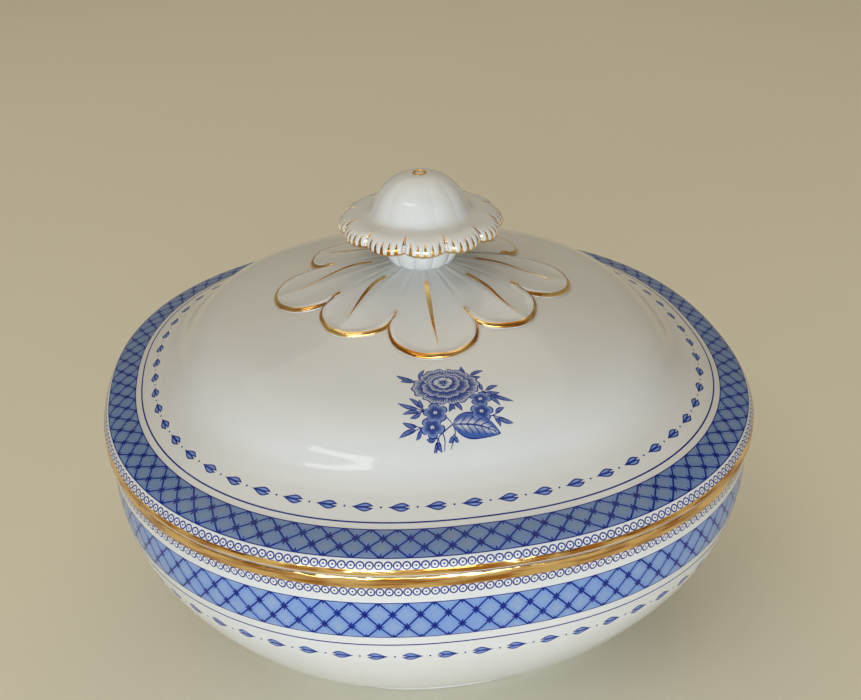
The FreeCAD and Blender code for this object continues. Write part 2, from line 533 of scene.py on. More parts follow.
def foot_line():
    """The foot ring's section: a rounded bead with a flat, worn standing edge."""
    outer = foot_high.x - 1.1 * MM
    inner = 80.2 * MM
    line = smooth_line([
        (foot_high.x - 0.2 * MM, foot_top),
        (outer + 0.9 * MM, foot_top - 2.4 * MM),
        (outer, 2.2 * MM),
        (outer - 0.5 * MM, 0.5 * MM),
        (outer - 1.6 * MM, 0.0),
        (inner + 1.4 * MM, 0.0),
        (inner + 0.4 * MM, 0.6 * MM),
        (inner, 2.4 * MM),
        (inner, foot_top),
    ], 3)
    return [(radius, max(height, 0.0)) for radius, height in line]


foot_mesh = spun(foot_line(), closed=True)
finish_piece("foot", foot_mesh, BOWL_BODY, [white_glaze], ["foot_ring"])

# %% [markdown]
# ## The lid
# The lid is turned in the same way: the domed outside, the flat seat that rests on the bowl, and the
# hollow inside. Its locating ring drops into the bowl's mouth. The ring can't be seen until the lid
# is lifted, but then it is what tells a real lid from a toy one.

# %% Lid and flange
def lid_line():
    """The lid's whole section, from its crown over the edge to the middle of its hollow."""
    crown = [(0.0, 162.0 * MM)]
    outside = lid_side.line[::-1]
    seat = [(half_width - 4.0 * MM, seat_z), (126.5 * MM, seat_z), (125.6 * MM, seat_z + 1.4 * MM)]
    inside = inner_line(lid_side, 24 * MM, lid_side.length - 12 * MM, WALL, 40)
    return crown + outside + seat + inside + [(0.0, neck_z - WALL)]


finish_piece("lid_shell", spun(lid_line()), LID_BODY, [white_glaze], ["lid"])


def flange_line():
    """The locating ring's section, with its lower corners softened."""
    low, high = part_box("lid_flange")
    outer = high.x
    inner = outer - 3.8 * MM
    soft = 0.9 * MM
    return [
        (outer, high.z),
        (outer, low.z + soft),
        (outer - soft * 0.3, low.z + soft * 0.3),
        (outer - soft, low.z),
        (inner + soft, low.z),
        (inner + soft * 0.3, low.z + soft * 0.3),
        (inner, low.z + soft),
        (inner, high.z),
    ]


ring_mesh = spun(flange_line(), closed=True)
finish_piece("lid_locating_ring", ring_mesh, LID_BODY, [white_glaze], ["lid_flange"])

# %% [markdown]
# ## Bands that go round the dish
# A print is a film thinner than paper. Here each band is a thin ring that lies on the side and
# stands a few hundredths of a millimetre proud, with its back sunk in the body, so that it can never
# flicker through it. Two coordinates are written on it: the share of the way round, and the distance
# up the band in millimetres. A second map lays the band out in rows, which gives a fine print enough
# room when the finish is turned into a picture.

# %% Band maker
PRINT_LIFT = 0.03 * MM
BAND_BACK = 0.35 * MM
STATION_STEP = 0.8 * MM
ROW_MARGIN = 0.06


def write_band_maps(bm, sunk, rows):
    """Writes the band's own coordinates, and a layout in rows for baking."""
    border = bm.loops.layers.uv.new("border")
    layout = bm.loops.layers.uv.new("OFBake")
    along = bm.verts.layers.float["along"]
    width = max(vert[along] for vert in bm.verts)
    for face in bm.faces:
        turns = [turn_at(math.atan2(loop.vert.co.y, loop.vert.co.x)) for loop in face.loops]
        if max(turns) - min(turns) > 0.5:
            turns = [turn + 1.0 if turn < 0.5 else turn for turn in turns]
        middle = sum(turns) / len(turns) % 1.0
        row = rows if face in sunk else int(middle * rows)
        for loop, turn in zip(face.loops, turns):
            loop[border].uv = (turn, loop.vert[along] / MM)
            past_seam = rows if turn >= 1.0 and row == 0 else 0
            across = min(max(turn * rows - int(middle * rows) - past_seam, 0.0), 1.0)
            up = ROW_MARGIN + (1 - 2 * ROW_MARGIN) * loop.vert[along] / width
            loop[layout].uv = (across, (row + up) / (rows + 1))


def band(name, side, start, end, body, material, rows=8, lift=PRINT_LIFT, replaced=()):
    """A thin ring over the side between two distances along it."""
    count = max(int((end - start) / STATION_STEP), 1) + 1
    stations = np.linspace(start, end, count)
    front = [side.lifted(along, lift) for along in stations]
    back = [side.lifted(along, -BAND_BACK) for along in stations[::-1]]
    bm = spun(front + back, closed=True)
    along_layer = bm.verts.layers.float.new("along")
    order = bm.verts.layers.float["order"]
    for vert in bm.verts:
        index = int(round(vert[order]))
        station = index if index < count else 2 * count - 1 - index
        vert[along_layer] = float(stations[station] - start)
    sunk = {face for face in bm.faces if any(vert[order] >= count for vert in face.verts)}
    write_band_maps(bm, sunk, rows)
    return finish_piece(name, bm, body, [material], replaced)


print("bands stand %.2f mm proud" % (PRINT_LIFT / MM))

# %% [markdown]
# ## The cobalt prints
# The lattice is two families of slanting lines. In slanted coordinates both families fall on even
# numbers, so one rounding finds the nearest line, and both together find the nearest crossing. The
# lines swell at the crossings, where an engraver cut a small star. The ground between them is a grey
# blue wash, unevenly inked. The row of rings is simpler: it only needs the distance to the middle of
# the nearest ring.

# %% Cobalt inks
COBALT = (0.0, 0.010, 0.190, 1.0)
COBALT_SOFT = (0.001, 0.026, 0.300, 1.0)
LID_WASH = ((0.135, 0.240, 0.520, 1.0), (0.230, 0.295, 0.390, 1.0))
BOWL_WASH = ((0.165, 0.290, 0.640, 1.0), (0.290, 0.390, 0.560, 1.0))
INK_PATCHES = 420.0


def map_coordinates(tree, name):
    """The two coordinates that were written on the piece under this name."""
    source = tree.nodes.new("ShaderNodeUVMap")
    source.uv_map = name
    split = tree.nodes.new("ShaderNodeSeparateXYZ")
    tree.links.new(source.outputs["UV"], split.inputs[0])
    return Field(split.outputs["X"]), Field(split.outputs["Y"])


def ink_colour(tree):
    """Cobalt, a little uneven."""
    patchy = noise(tree, INK_PATCHES).ramp(0.38, 0.75, 0.0, 1.0)
    return blend_colour(tree, patchy, COBALT, COBALT_SOFT)


def print_under_glaze(tree, shader, colour):
    """Lays the printed colour on, under the thinner glaze that prints have."""
    tree.links.new(colour, shader.inputs["Base Color"])
    add_glaze(tree, shader, PRINT_RIPPLE, PRINT_COAT)


def lattice_print(name, cells, shift, height, half_length, wash):
    """The lattice band: cells round the dish, the band's height and its half width, in millimetres."""
    material, tree, shader = new_material(name)
    turn, up = map_coordinates(tree, "border")
    pitch = PLAN_LENGTH * half_length / cells
    slope = math.hypot(2 / pitch, 3 / height)
    across = (turn * float(cells) + shift) * 2.0
    rise = up * (3.0 / height)
    leaning = (across + rise).off_nearest(2.0)
    falling = (across - rise).off_nearest(2.0)
    line = abs(leaning).least(abs(falling)) * (1 / slope)
    beside = (leaning + falling) * (pitch / 4)
    above = (leaning - falling) * (height / 6)
    from_crossing = distance(beside, above)
    drawn = line.within(from_crossing.ramp(0.2, 1.5, 0.68, 0.34), 0.07)
    upright_tick = (abs(beside) + abs(above) * 0.08).within(0.40, 0.06) * abs(above).within(1.85, 0.15)
    level_tick = (abs(above) + abs(beside) * 0.08).within(0.36, 0.06) * abs(beside).within(1.60, 0.15)
    edges = up.within(0.42, 0.06).most((up * -1.0 + height).within(0.42, 0.06))
    ink = drawn.most(upright_tick).most(level_tick).most(edges)
    grain = noise(tree, 900.0, 3.0).ramp(0.30, 0.72, 0.0, 1.0)
    patch = noise(tree, 70.0, 2.0).ramp(0.3, 0.7, 0.0, 1.0)
    heart_of_cell = line.ramp(0.3, 2.6, 0.0, 1.0)
    ground = blend_colour(tree, (heart_of_cell * 0.7 + grain * 0.3) * (patch * 0.5 + 0.5), *wash)
    print_under_glaze(tree, shader, blend_colour(tree, ink, ground, ink_colour(tree)))
    return material


def ring_print(name, rings, middle, half_length, tallness):
    """A row of touching rings, each with a dot in it. Tallness stretches them upwards."""
    material, tree, shader = new_material(name)
    turn, up = map_coordinates(tree, "border")
    pitch = PLAN_LENGTH * half_length / rings
    beside = (turn * rings).off_nearest() * pitch
    above = (up - middle) * (1 / tallness)
    out = distance(beside, above)
    outline = abs(out - (pitch / 2 - 0.27)).within(0.24, 0.05)
    dot = out.within(0.34, 0.06)
    ink = outline.most(dot)
    print_under_glaze(tree, shader, blend_colour(tree, ink, white_body(tree), ink_colour(tree)))
    return material


def line_print():
    """The plain cobalt of the thin lines."""
    material, tree, shader = new_material("cobalt_line")
    print_under_glaze(tree, shader, ink_colour(tree))
    return material


cobalt_line = line_print()
print("cobalt inks mixed")

# %% [markdown]
# ## Laying the borders
# The borders are set out from the gold: rings, then the lattice, then a thin line. The lid's lattice
# lies on its sloping rim and the bowl's stands on its upright wall, where there was room for a taller
# one.

# %% Borders
RINGS = 280
LINE_HALF = 0.30 * MM


def lay_borders(prefix, side, body, cells, shift, ring_row, lattice_row, thin_line, size, tallness, wash):
    """Lays the rings, the lattice and the thin line on one side."""
    rings_from, rings_to, ring_middle = ring_row
    lattice_from, lattice_to = lattice_row
    height = abs(lattice_to - lattice_from) / MM
    low, high = sorted((rings_from, rings_to))
    rings = ring_print(prefix + "_rings", RINGS, (ring_middle - low) / MM, size / MM, tallness)
    lattice = lattice_print(prefix + "_lattice", cells, shift, height, size / MM, wash)
    band(prefix + "_ring_border", side, low, high, body, rings, rows=14)
    low, high = sorted((lattice_from, lattice_to))
    band(prefix + "_lattice_border", side, low, high, body, lattice, rows=8)
    low, high = thin_line - LINE_HALF, thin_line + LINE_HALF
    band(prefix + "_thin_line", side, low, high, body, cobalt_line)


lid_gold_edge = lid_side.at_height(LID_GILT_Z)
lid_lattice_edge = lid_side.at_radius(137.4 * MM)
lay_borders(
    "lid", lid_side, LID_BODY, 88, -0.27,
    (lid_gold_edge, lid_lattice_edge, lid_gold_edge + 1.75 * MM),
    (lid_lattice_edge, lid_side.at_radius(125.6 * MM)),
    lid_side.at_radius(123.1 * MM), 134.0 * MM, 1.0, LID_WASH,
)
bowl_gold_edge = bowl_side.at_height(BOWL_GILT_Z)
lay_borders(
    "bowl", bowl_side, BOWL_BODY, 91, -0.25,
    (bowl_side.at_height(93.4 * MM), bowl_gold_edge, bowl_gold_edge - 2.1 * MM),
    (bowl_side.at_height(76.7 * MM), bowl_side.at_height(93.4 * MM)),
    bowl_side.at_height(72.5 * MM), 138.0 * MM, 1.26, BOWL_WASH,
)

# %% [markdown]
# ## Gilded rims
# Each rim is dipped in gold to a few millimetres from its edge. A band of the same kind as the
# prints does it, a little thicker, and it ends just over the edge, so that the seam between bowl and
# lid shows as one dark line between two bright ones.

# %% Gilded rims
GOLD_LIFT = 0.06 * MM
band(
    "bowl_gold_rim", bowl_side, bowl_side.at_height(BOWL_GILT_Z - 0.2 * MM), bowl_side.length - 0.1 * MM,
    BOWL_BODY, rim_gold, rows=14, lift=GOLD_LIFT, replaced=["bowl_rim_gilding"],
)
band(
    "lid_gold_rim", lid_side, 0.1 * MM, lid_side.at_height(LID_GILT_Z + 0.2 * MM),
    LID_BODY, rim_gold, rows=14, lift=GOLD_LIFT, replaced=["lid_rim_gilding"],
)

# %% [markdown]
# ## Hearts and dots
# Inside the thin line runs a row of small painted hearts with a dot between each two. A brush made
# each lobe in one touch, so a lobe is one half of a sine wave that swells early and ends in a point.
# The pair of them, mirrored by one absolute value, is a heart, and a white slit opens between the
# lobes. The hearts point one way round on the lid and the other way round on the bowl.

# %% Hearts
HEART_BLUE = (0.070, 0.160, 0.53, 1.0)
HEART_PALE = (0.23, 0.36, 0.68, 1.0)
HEART_LENGTH = 8.8
LOBE_HALF = 1.80
HEART_BAND_HALF = 4.2


def heart_print(name, hearts, middle, half_length, pointing, shift, tallness):
    """The row of hearts. Pointing is one or minus one, for the way they face."""
    material, tree, shader = new_material(name)
    turn, up = map_coordinates(tree, "border")
    pitch = PLAN_LENGTH * half_length / hearts
    station = turn * float(hearts) + shift
    beside = station.off_nearest() * (pitch * pointing)
    above = abs(up - middle) * (1 / tallness)
    along = (beside * (1 / HEART_LENGTH) + 0.5).ramp(0.0, 1.0, 0.0, 1.0)
    bulge = (along.math("POWER", 1.6) * math.pi).math("SINE").math("POWER", 0.5) * LOBE_HALF
    slit = beside.ramp(0.6, 4.2, -0.16, 0.34)
    inside = (bulge - above).least(above - slit)
    filled = inside.ramp(-0.04, 0.06, 0.0, 1.0)
    outline = inside.ramp(0.40, 0.58, 1.0, 0.0)
    dots_off = (station + 0.5).off_nearest() * pitch
    dot = distance(dots_off, above).within(0.40, 0.06)
    wash = blend_colour(tree, inside.ramp(0.50, 0.90, 0.0, 1.0), HEART_BLUE, HEART_PALE)
    touched = blend_colour(tree, outline, wash, ink_colour(tree))
    painted = blend_colour(tree, filled, white_body(tree), touched)
    print_under_glaze(tree, shader, blend_colour(tree, dot, painted, ink_colour(tree)))
    return material


def lay_hearts(prefix, side, body, hearts, centre, size, pointing, shift, tallness):
    """Lays the row of hearts along the middle of its own band."""
    low, high = centre - HEART_BAND_HALF * MM, centre + HEART_BAND_HALF * MM
    painted = heart_print(
        prefix + "_hearts", hearts, HEART_BAND_HALF, size / MM, pointing, shift, tallness
    )
    band(prefix + "_heart_border", side, low, high, body, painted, rows=8)


lid_hearts_at = lid_side.at_radius(117.4 * MM)
lay_hearts("lid", lid_side, LID_BODY, 58, lid_hearts_at, 117.4 * MM, 1.0, -0.36, 1.0)
bowl_hearts_at = bowl_side.at_height(65.0 * MM)
lay_hearts("bowl", bowl_side, BOWL_BODY, 68, bowl_hearts_at, 136.0 * MM, -1.0, 0.14, 1.40)

# %% [markdown]
# ## Patches laid on a surface
# Petals, brush strokes and printed leaves are all small sheets that follow the dome. Each starts as
# a flat grid, is extruded once so that it is closed, and is then laid down: a function says where
# each of its corners goes. Only that function differs from one kind of patch to the next.

# %% Patches
def dome_point(x, y, lift):
    """The point that stands this far off the dome, over a place in plan."""
    angle = math.atan2(y, x)
    along = lid_side.at_radius(math.hypot(x, y) / reach(angle))
    return lid_side.place(angle, along, lift)


def add_patch(bm, columns, rows, place, material=0):
    """Adds a closed sheet. Place takes how far along, how far across, and whether it is the back."""
    pattern = bm.loops.layers.uv.get("pattern") or bm.loops.layers.uv.new("pattern")
    front = bmesh.ops.create_grid(bm, x_segments=columns, y_segments=rows, size=1.0)["verts"]
    sheet = list({face for vert in front for face in vert.link_faces})
    made = bmesh.ops.extrude_face_region(bm, geom=sheet)["geom"]
    back = [part for part in made if isinstance(part, bmesh.types.BMVert)]
    bmesh.ops.translate(bm, verts=back, vec=(0, 0, 1))
    for face in {face for vert in front + back for face in vert.link_faces}:
        face.material_index = material
        for loop in face.loops:
            loop[pattern].uv = ((loop.vert.co.x + 1) / 2, loop.vert.co.y)
    for vert in front + back:
        vert.co = place((vert.co.x + 1) / 2, vert.co.y, vert.co.z > 0.5)


class Path:
    """A smooth path in plan, read by the share of its length."""

    def __init__(self, points, cuts=8):
        line = smooth_line(points, cuts)
        steps = [(b - a).length for a, b in zip(line, line[1:])]
        self.share = np.concatenate([[0.0], np.cumsum(steps)])
        self.length = float(self.share[-1])
        self.share /= self.length
        self.xs = [point[0] for point in line]
        self.ys = [point[1] for point in line]

    def at(self, share):
        """The point at this share of the length."""
        x = np.interp(share, self.share, self.xs)
        y = np.interp(share, self.share, self.ys)
        return Vector((float(x), float(y)))

    def leftwards(self, share):
        """The direction square to the path, to its left."""
        step = self.at(min(share + 0.01, 1.0)) - self.at(max(share - 0.01, 0.0))
        return Vector((-step[1], step[0])).normalized()


print("patches ready")

# %% [markdown]
# ## The rosette
# Eight moulded petals lie round the finial, long ones towards the sides and shorter ones towards
# the corners. They were laid by hand, so each leans a little. Each has a thick rolled edge, a
# shallow hollow on each side of its rib, and folds where it gathers at the neck. The edge is worked
# out from the distance to the petal's outline, and the rest from waves that die away, so the petals
# meet without a seam near the neck and part from each other further out.

# %% Rosette
PETALS = 8
PETAL_RISE = 1.6 * MM
ROSETTE_TURN = math.radians(1.5)
PETAL_DEPTH = 3.2 * MM
LEANS_IN_DEGREES = [-2.4, -5.0, -7.5, -3.0, 0.0, 2.0, 1.5, 0.0]
PETAL_EDGE = [
    (11.0, 4.6), (17.0, 7.0), (27.0, 11.2), (36.0, 14.9), (42.0, 17.0),
    (48.5, 17.7), (55.4, 15.6), (60.8, 10.2), (63.0, 5.2), (63.6, 0.0),
]
CORNER_PETAL_EDGE = PETAL_EDGE[:4] + [
    (41.2, 16.6), (46.4, 16.2), (51.2, 13.2), (55.0, 8.2), (57.0, 3.8), (57.5, 0.0),
]
FREE_FROM = 39.5 * MM


class PetalShape:
    """A petal's outline in plan, and the part of it that stands free of its neighbours."""

    def __init__(self, edge, gold_from):
        right = [(out * MM, -side * MM) for out, side in edge]
        left = [(out * MM, side * MM) for out, side in edge[:-1]][::-1]
        self.outline = Path(right + left)
        shares = np.linspace(0, 1, 500)
        points = np.array([self.outline.at(share) for share in shares])
        self.free = points[points[:, 0] > FREE_FROM]
        gilded = np.nonzero(points[:, 0] > gold_from)[0]
        self.gold_share = float(gilded[0]) / (len(shares) - 1)


PETAL_SHAPES = [PetalShape(PETAL_EDGE, 40.2 * MM), PetalShape(CORNER_PETAL_EDGE, 35.5 * MM)]


def fade(value, start, end):
    """Goes softly from zero to one as the value goes from start to end."""
    share = min(max((value - start) / (end - start), 0.0), 1.0)
    return share * share * (3 - 2 * share)


def petal_rise(shape, out, side):
    """How far the petal's face stands off the dome."""
    to_edge = float(np.hypot(shape.free[:, 0] - out, shape.free[:, 1] - side).min()) / MM
    rolled = math.sqrt(1 - (1 - min(to_edge / 1.3, 1.0)) ** 2)
    rise = PETAL_RISE * (0.30 + 0.70 * rolled) * (0.45 + 0.55 * fade(out, 14 * MM, 27 * MM))
    rim = 0.30 * math.exp(-(((to_edge - 1.8) / 1.2) ** 2))
    side_mm = abs(side) / MM
    hollow = -0.22 * math.exp(-(((side_mm - 7.5) / 3.4) ** 2))
    hollow *= fade(out, 26 * MM, 44 * MM)
    hollow *= min(to_edge / 4, 1.0)
    rib = 0.25 * math.exp(-((side_mm / 2.0) ** 2)) * fade(out, 24 * MM, 34 * MM)
    share = side / (2 * math.tan(math.pi / PETALS) * out)
    folds = 0.10 * math.cos(6 * math.pi * share) + 0.07 * math.cos(10 * math.pi * share)
    folds *= fade(out, 36 * MM, 19 * MM)
    return rise + (rim + hollow + rib + folds) * MM


def rosette_place(index, out, side, lift):
    """A point over one petal, given along and across it."""
    angle = FRONT - ROSETTE_TURN + index * 2 * math.pi / PETALS
    angle += math.radians(LEANS_IN_DEGREES[index])
    x = out * math.cos(angle) - side * math.sin(angle)
    y = out * math.sin(angle) + side * math.cos(angle)
    return dome_point(x, y, petal_rise(PETAL_SHAPES[index % 2], out, side) + lift)


def make_petal(index):
    """One petal: a thick sheet between the two halves of its outline."""
    outline = PETAL_SHAPES[index % 2].outline

    def place(along, across, back):
        edge = outline.at(along / 2)
        return rosette_place(index, edge[0], edge[1] * across, -PETAL_DEPTH if back else 0.0)

    bm = bmesh.new()
    add_patch(bm, 64, 26, place)
    bmesh.ops.remove_doubles(bm, verts=bm.verts, dist=0.002 * MM)
    name = "petal_%d" % (index + 1)
    finish_piece("moulded_" + name, bm, LID_BODY, [white_glaze], [name], sharp=60)


for index in range(PETALS):
    make_petal(index)

# %% [markdown]
# ## Gold on the petals
# A fine brush drew the edge of each petal and one stroke down its middle. A stroke starts broad
# where the loaded brush is set down, and thins to a hair as it is lifted. A patch along a path does
# this, with its width read from how far along it is. The strokes are slightly domed, so that they
# catch the light as a raised line of gold does.

# %% Gold strokes
STROKE_BACK = 0.5 * MM


def add_gold_edge(bm, index):
    """The stroke round a petal's edge. Its ends climb over the petal next to it."""
    shape = PETAL_SHAPES[index % 2]

    def place(along, across, back):
        share = shape.gold_share + along * (1 - 2 * shape.gold_share)
        width = (0.75 + 1.0 * math.sin(math.pi * along) ** 1.6) * MM
        width *= min(along * 9, (1 - along) * 9, 1.0) ** 0.7 + 0.02
        inwards = shape.outline.leftwards(share) * (width * (across + 1) / 2 - 0.08 * MM)
        centre = shape.outline.at(share) + inwards
        climb = 0.7 * MM * fade(centre[0], 43.5 * MM, 38.5 * MM) if index % 2 else 0.0
        lift = -STROKE_BACK if back else (0.05 + 0.08 * (1 - across * across)) * MM + climb
        return rosette_place(index, centre[0], centre[1], lift)

    add_patch(bm, 110, 4, place)


VEINS = [
    [(20.2, -0.2), (31.0, -0.1), (44.0, 0.1), (56.8, 0.7)],
    [(22.0, 2.8), (32.0, 3.6), (43.0, 1.3), (52.5, 0.0)],
    [(22.0, 2.9), (35.0, 4.6), (47.0, 0.3), (56.5, -1.8)],
    [(21.0, 1.0), (30.0, 1.4), (40.0, -0.6), (50.0, -1.4)],
    [(21.0, 0.3), (31.0, -0.6), (44.0, -1.2), (56.0, -1.4)],
    [(21.0, -1.0), (30.0, -1.4), (40.0, 0.6), (50.0, 1.4)],
    [(20.5, -3.6), (31.0, -7.0), (41.5, -4.6), (51.7, 0.0)],
    [(20.2, -2.8), (27.0, -4.4), (36.0, -3.4), (48.5, -0.2)],
]


def add_vein(bm, index):
    """The stroke down the middle of a petal, curved as the hand drew it."""
    path = Path(in_metres(VEINS[index]))

    def place(along, across, back):
        width = 1.75 * MM * min(along * 22 + 0.3, 1.0) * (1 - fade(along, 0.25, 1.1)) + 0.16 * MM
        centre = path.at(along) + path.leftwards(along) * (across * width / 2)
        lift = -STROKE_BACK if back else (0.04 + 0.10 * (1 - across * across)) * MM
        return rosette_place(index, centre[0], centre[1], lift)

    add_patch(bm, 40, 4, place)


rosette_gold = bmesh.new()
for index in range(PETALS):
    add_gold_edge(rosette_gold, index)
    add_vein(rosette_gold, index)
finish_piece("rosette_gold_strokes", rosette_gold, LID_BODY, [brushed_gold])

# %% [markdown]
# ## The flower to lift it by
# The finial is a turned flower: a fluted cup, and over it a bloom whose brim hangs in twelve lobes
# under a smooth crown. Both are spun like the dish, and then the lobes are pressed in. A lobe is an
# arch between two sharp notches, which is what the size of a sine gives, and it fades out towards
# the crown. Fine crimps run round the hanging edge, and each will hold a touch of gold.

# %% Finial
LOBES = 12
CRIMPS = 72
NOTCH = FRONT + math.radians(9.0)
BLOOM_CLOSE_Z = 173.6 * MM
CUP_CLOSE_Z = (160.3 * MM, 174.8 * MM)
bloom_side = Side(in_metres([
    (15.0, 174.0), (22.0, 175.0), (28.0, 175.6), (32.4, 176.2), (34.3, 177.2), (34.7, 178.9),
    (34.0, 180.8), (31.9, 182.2), (28.4, 182.8), (24.8, 182.8), (22.0, 183.3), (20.3, 184.9),
    (18.9, 188.2), (17.0, 191.7), (14.5, 194.6), (11.2, 197.0), (7.8, 198.5), (4.8, 199.2),
    (2.8, 199.3), (1.6, 199.0), (0.0, 198.8),
]), 4)
bloom_edge = float(bloom_side.along[int(np.argmax(bloom_side.radii))])


def bloom_place(angle, along, lift):
    """A point on the bloom, with its lobes and crimps pressed in."""
    radius, height = bloom_side.lifted(along, lift)
    arch = abs(math.sin(LOBES / 2 * (angle - NOTCH)))
    near_edge = fade(radius, 24 * MM, 34.5 * MM)
    on_crown = fade(radius, 7 * MM, 15 * MM) * (1 - near_edge)
    pressed = 2.5 * (1 - arch ** 0.62) * near_edge + 0.26 * (1 - arch ** 0.9) * on_crown
    if along < bloom_edge - 6 * MM:
        pressed *= 0.35
    crimp = 0.30 * (0.5 + 0.5 * math.cos(CRIMPS * (angle - NOTCH))) * fade(radius, 30.5 * MM, 34 * MM)
    radius -= (pressed + crimp) * MM
    height -= 0.9 * MM * (arch ** 0.8) * near_edge
    return Vector((radius * math.cos(angle), radius * math.sin(angle), height))


def make_bloom():
    """The brim and the crown, in one turned piece that is closed underneath."""
    bm = spun(bloom_side.line + [(0.0, BLOOM_CLOSE_Z)], steps=FINE_STEPS, pressed=False)
    order = bm.verts.layers.float["order"]
    last = len(bloom_side.line) - 1
    for vert in bm.verts:
        index = int(round(vert[order]))
        if index <= last and math.hypot(vert.co.x, vert.co.y) > 0.01 * MM:
            angle = math.atan2(vert.co.y, vert.co.x)
            vert.co = bloom_place(angle, float(bloom_side.along[index]), 0.0)
    replaced = ["finial_brim", "finial_crown"]
    finish_piece("finial_bloom", bm, LID_BODY, [white_glaze], replaced, sharp=70)


def make_cup():
    """The fluted cup under the bloom, one flute to each lobe."""
    line = smooth_line(in_metres([
        (11.2, 160.3), (13.0, 161.2), (14.9, 163.2), (16.2, 165.8), (17.0, 168.7), (17.8, 171.6),
        (19.0, 174.8),
    ]), 4)
    bm = spun([(0.0, CUP_CLOSE_Z[0])] + line + [(0.0, CUP_CLOSE_Z[1])], pressed=False)
    for vert in bm.verts:
        arch = abs(math.sin(LOBES / 2 * (math.atan2(vert.co.y, vert.co.x) - NOTCH)))
        fluted = 1 - 0.075 * (1 - arch ** 0.55)
        vert.co.x *= fluted
        vert.co.y *= fluted
    finish_piece("finial_cup", bm, LID_BODY, [white_glaze], ["finial_neck"], sharp=70)


make_bloom()
make_cup()

# %% [markdown]
# ## Gold on the finial
# Every crimp has a wedge of gold, long in the notches between the lobes and short elsewhere. The
# hanging edge is gilded too, and so is a small ring round the dimple on top.

# %% Finial gold
FINE_BACK = 0.4 * MM


def add_wedge(bm, angle, length, width):
    """A wedge of gold on one crimp, broad at the edge and pointed towards the crown."""
    start = bloom_edge - 1.1 * MM

    def place(along, across, back):
        half = width / 2 * (1 - along) ** 0.8 + 0.05 * MM
        turned = angle + across * half / (34 * MM)
        lift = -FINE_BACK if back else (0.05 + 0.10 * (1 - across * across)) * MM
        return bloom_place(turned, start + along * length, lift)

    add_patch(bm, 8, 2, place)


finial_gold = bmesh.new()
for index in range(CRIMPS):
    in_notch = index % (CRIMPS // LOBES) == 0
    uneven = 1 + 0.12 * math.sin(index * 2.4)
    length = 9.4 if in_notch else 5.4 * uneven
    width = 1.9 if in_notch else 1.55
    add_wedge(finial_gold, NOTCH + index * 2 * math.pi / CRIMPS, length * MM, width * MM)
finish_piece("finial_gold_strokes", finial_gold, LID_BODY, [brushed_gold])


def make_gilt_edge():
    """The thin line of gold round the hanging edge."""
    stations = np.linspace(bloom_edge - 2.4 * MM, bloom_edge - 0.7 * MM, 5)
    levels = [(station, GOLD_LIFT) for station in stations]
    levels += [(station, -FINE_BACK) for station in stations[::-1]]
    ring = [bloom_side.lifted(station, lift) for station, lift in levels]
    bm = spun(ring, closed=True, steps=FINE_STEPS, pressed=False)
    order = bm.verts.layers.float["order"]
    for vert in bm.verts:
        station, lift = levels[int(round(vert[order]))]
        vert.co = bloom_place(math.atan2(vert.co.y, vert.co.x), station, lift)
    finish_piece("finial_gold_edge", bm, LID_BODY, [rim_gold])


def make_eye():
    """The small gilded ring round the dimple on the crown."""
    ring = [(2.0, 198.8), (2.0, 199.4), (2.25, 199.75), (2.7, 199.75), (2.95, 199.4), (2.95, 198.8)]
    bm = spun(in_metres(ring), closed=True, steps=64, pressed=False)
    finish_piece("finial_eye_ring", bm, LID_BODY, [brushed_gold], ["finial_eye"], sharp=80)


make_gilt_edge()
make_eye()

# %% [markdown]
# ## The printed flowers
# A spray of garden flowers is printed on the dome: a full peony, small five-petalled blossoms, one
# large leaf, and sprigs. This one is drawn afresh from those common flowers. Each leaf and petal is
# its own patch, and its map runs from stalk to tip and from side to side, so a few nodes can draw
# the engraver's outline, rib and hatching on all of them, however they are bent.

# %% Flower inks
PAPER_BLUE = (0.58, 0.62, 0.66, 1.0)
BUD_BLUE = (0.58, 0.63, 0.66, 1.0)
BROAD_LEAF_BLUE = (0.055, 0.12, 0.40, 1.0)
PALE_BLUE = (0.20, 0.30, 0.56, 1.0)
MIDDLE_BLUE = (0.025, 0.070, 0.30, 1.0)
DEEP_BLUE = (0.002, 0.018, 0.210, 1.0)


def leaf_print(name, veins, wash, centre, outline_width):
    """A leaf: a dark outline and rib, slanting veins, and a wash that is paler by the rib."""
    material, tree, shader = new_material(name)
    along, across = map_coordinates(tree, "pattern")
    off_rib = abs(across)
    slanted = (along * veins - off_rib * 1.6).off_nearest()
    vein = abs(slanted).within(0.10, 0.05) * off_rib.ramp(0.55, 0.75, 1.0, 0.0)
    rib = off_rib.within(0.07, 0.04) * along.ramp(0.86, 0.92, 1.0, 0.0)
    outline = off_rib.ramp(1 - outline_width * 1.4, 1 - outline_width, 0.0, 1.0)
    outline = outline.most(along.ramp(0.93, 0.97, 0.0, 1.0))
    tone = off_rib.ramp(0.1, 0.7, 1.0, 0.0) * noise(tree, 300.0, 1.0).ramp(0.3, 0.6, 0.5, 1.0)
    ground = blend_colour(tree, tone, wash, centre)
    ink = vein.most(rib).most(outline)
    print_under_glaze(tree, shader, blend_colour(tree, ink, ground, ink_colour(tree)))
    return material


